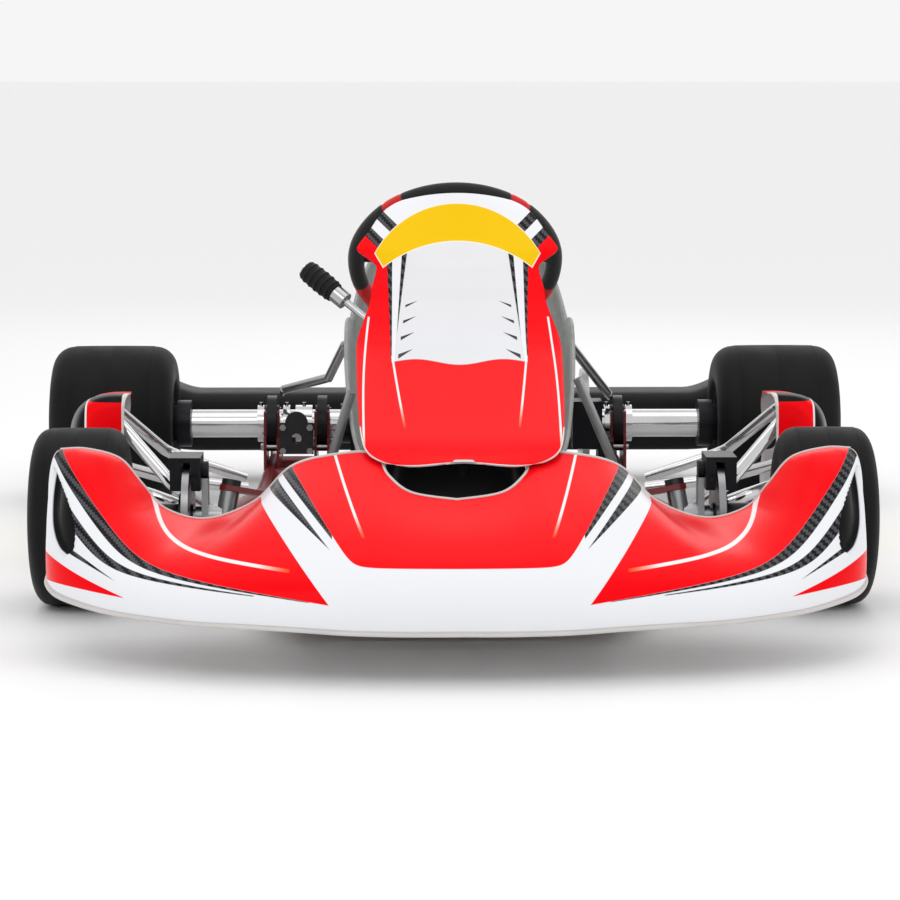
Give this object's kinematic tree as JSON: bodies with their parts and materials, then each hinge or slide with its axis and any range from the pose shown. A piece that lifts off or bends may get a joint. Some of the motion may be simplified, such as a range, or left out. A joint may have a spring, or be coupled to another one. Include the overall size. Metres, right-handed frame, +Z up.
{
  "type": "racing kart chassis",
  "caption": "Rolling racing kart chassis with tubular frame, bodywork, bucket seat, steered front wheels, disc brakes and live rear axle, without an engine.",
  "frame": {"origin": "on the ground, under the middle of the overall box", "axes": "+Z up, +Y towards the rear bumper, +X towards the driver's left"},
  "size_m": [1.4, 1.9839, 0.5982],
  "materials": {
    "frame_paint": "dark red powder coat",
    "black_steel": "black satin paint",
    "black_alloy": "black anodised",
    "zinc_steel": "zinc plated",
    "chrome": "bright chrome",
    "floor_alloy": "brushed",
    "tank_plastic": "translucent moulded",
    "black_plastic": "fine grained",
    "body_plastic": "glossy film over moulded plastic",
    "seat_fibreglass": "grey gel coat",
    "hose_rubber": "smooth",
    "disc_steel": "ground",
    "rim_alloy": "dark anodised",
    "tyre_rubber": "slick",
    "wheel_suede": "black suede with red panels",
    "pedal_alloy": "red anodised",
    "lever_steel": "satin"
  },
  "bodies": {
    "chassis": {"main_frame": "frame_paint", "yoke_left": "frame_paint", "yoke_right": "frame_paint", "axle_hangers": "frame_paint", "kingpins": "black_steel", "bridge_plate": "black_steel", "column_bracket": "black_steel", "shift_bracket": "black_steel", "pedal_mounts": "black_steel", "bearing_cassettes": "black_alloy", "rear_caliper": "black_alloy", "frame_bolts": "zinc_steel", "seat_struts": "zinc_steel", "bumper_mounts": "zinc_steel", "side_bumper_left": "chrome", "side_bumper_right": "chrome", "front_bumper": "chrome", "floor_tray": "floor_alloy", "master_cylinders": "floor_alloy", "fuel_tank": "tank_plastic", "tank_cap": "black_plastic", "column_bearing": "black_plastic", "nassau_bracket": "black_plastic", "rear_bumper": "black_plastic", "front_fairing": "body_plastic", "nassau_panel": "body_plastic", "side_pod_left": "body_plastic", "side_pod_right": "body_plastic", "seat": "seat_fibreglass", "rear_brake_line": "hose_rubber"},
    "steering": {"steering_column": "zinc_steel", "steering_wheel": "wheel_suede"},
    "stub_left": {"stub_axle_left": "zinc_steel", "front_caliper_left": "black_alloy"},
    "stub_right": {"stub_axle_right": "zinc_steel", "front_caliper_right": "black_alloy"},
    "front_wheel_left": {"front_hub_left": "black_alloy", "front_disc_left": "disc_steel", "front_rim_left": "rim_alloy", "front_tyre_left": "tyre_rubber"},
    "front_wheel_right": {"front_hub_right": "black_alloy", "front_disc_right": "disc_steel", "front_rim_right": "rim_alloy", "front_tyre_right": "tyre_rubber"},
    "rear_axle": {"rear_axle": "chrome", "axle_collars": "chrome", "rear_hub_left": "black_alloy", "rear_hub_right": "black_alloy", "rear_rim_left": "rim_alloy", "rear_rim_right": "rim_alloy", "rear_tyre_left": "tyre_rubber", "rear_tyre_right": "tyre_rubber", "rear_disc": "disc_steel", "sprocket_carrier": "black_alloy"},
    "tie_rod_left": {"tie_rod_left": "floor_alloy"},
    "tie_rod_right": {"tie_rod_right": "floor_alloy"},
    "brake_pedal": {"brake_pedal": "pedal_alloy"},
    "throttle_pedal": {"throttle_pedal": "pedal_alloy"},
    "brake_rod": {"brake_rod": "zinc_steel"},
    "gear_lever": {"gear_lever": "lever_steel"}
  },
  "joints": [
    {"name": "steering_turn", "type": "hinge", "parent": "chassis", "child": "steering", "pos_m": [0.01, 0.09, 0.465], "axis": [0, 0.7547, 0.6561], "range_deg": [-40, 40]},
    {"name": "kingpin_left", "type": "hinge", "parent": "chassis", "child": "stub_left", "pos_m": [0.33, -0.4, 0.129], "axis": [-0.1699, 0.2079, 0.9633], "range_deg": [-20.5, 20.5]},
    {"name": "kingpin_right", "type": "hinge", "parent": "chassis", "child": "stub_right", "pos_m": [-0.33, -0.4, 0.129], "axis": [0.1699, 0.2079, 0.9633], "range_deg": [-20.5, 20.5]},
    {"name": "front_spin_left", "type": "hinge", "parent": "stub_left", "child": "front_wheel_left", "pos_m": [0.5375, -0.4, 0.129], "axis": [1, 0, 0], "continuous": true},
    {"name": "front_spin_right", "type": "hinge", "parent": "stub_right", "child": "front_wheel_right", "pos_m": [-0.5375, -0.4, 0.129], "axis": [1, 0, 0], "continuous": true},
    {"name": "rear_axle_spin", "type": "hinge", "parent": "chassis", "child": "rear_axle", "pos_m": [0, 0.65, 0.14], "axis": [1, 0, 0], "continuous": true},
    {"name": "tie_rod_pivot_left", "type": "hinge", "parent": "steering", "child": "tie_rod_left", "pos_m": [0.021, -0.26231, 0.09249], "axis": [0, 0.7547, 0.6561], "range_deg": [-41, 41]},
    {"name": "tie_rod_pivot_right", "type": "hinge", "parent": "steering", "child": "tie_rod_right", "pos_m": [-0.001, -0.26231, 0.09249], "axis": [0, 0.7547, 0.6561], "range_deg": [-41, 41]},
    {"name": "brake_press", "type": "hinge", "parent": "chassis", "child": "brake_pedal", "pos_m": [0.15, -0.56, 0.062], "axis": [1, 0, 0], "range_deg": [0, 18], "stiffness_Nm_per_rad": 4, "springref_deg": -8.59},
    {"name": "throttle_press", "type": "hinge", "parent": "chassis", "child": "throttle_pedal", "pos_m": [-0.15, -0.56, 0.062], "axis": [1, 0, 0], "range_deg": [0, 22], "stiffness_Nm_per_rad": 3, "springref_deg": -8.59},
    {"name": "brake_rod_slide", "type": "slide", "parent": "chassis", "child": "brake_rod", "axis": [0, -1, 0], "range_m": [0, 0.0135]},
    {"name": "gear_shift", "type": "hinge", "parent": "chassis", "child": "gear_lever", "pos_m": [-0.125, -0.19, 0.1], "axis": [1, 0, 0], "range_deg": [-8, 8], "stiffness_Nm_per_rad": 40}
  ],
  "couplings": [
    {"joint": "kingpin_left", "follows": "steering_turn", "ratio": 0.5},
    {"joint": "kingpin_right", "follows": "steering_turn", "ratio": 0.5},
    {"joint": "tie_rod_pivot_left", "follows": "steering_turn", "ratio": -1},
    {"joint": "tie_rod_pivot_right", "follows": "steering_turn", "ratio": -1},
    {"joint": "brake_rod_slide", "follows": "brake_press", "m_per_rad": 0.041}
  ]
}
